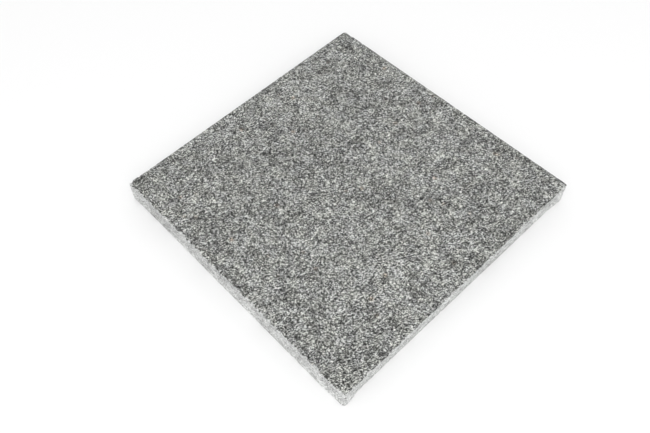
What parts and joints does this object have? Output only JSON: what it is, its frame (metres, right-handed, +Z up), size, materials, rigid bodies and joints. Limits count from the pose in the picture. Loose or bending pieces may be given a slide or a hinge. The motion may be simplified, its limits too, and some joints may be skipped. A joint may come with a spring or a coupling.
{
  "type": "granite slab",
  "caption": "Square slab of speckled grey granite with a honed top, pale sawn sides and eased edges, used as a hard, heavy surface for tooling leather.",
  "frame": {"origin": "centre of the underside, on the surface that the slab lies on", "axes": "+Z up, square to the working face; X and Y along the four sawn sides"},
  "size_m": [0.305, 0.305, 0.025],
  "materials": {
    "granite": "honed and dull on the working face, sawn and paler on the sides and the underside"
  },
  "bodies": {
    "root": {"granite_slab": "granite"}
  },
  "joints": []
}
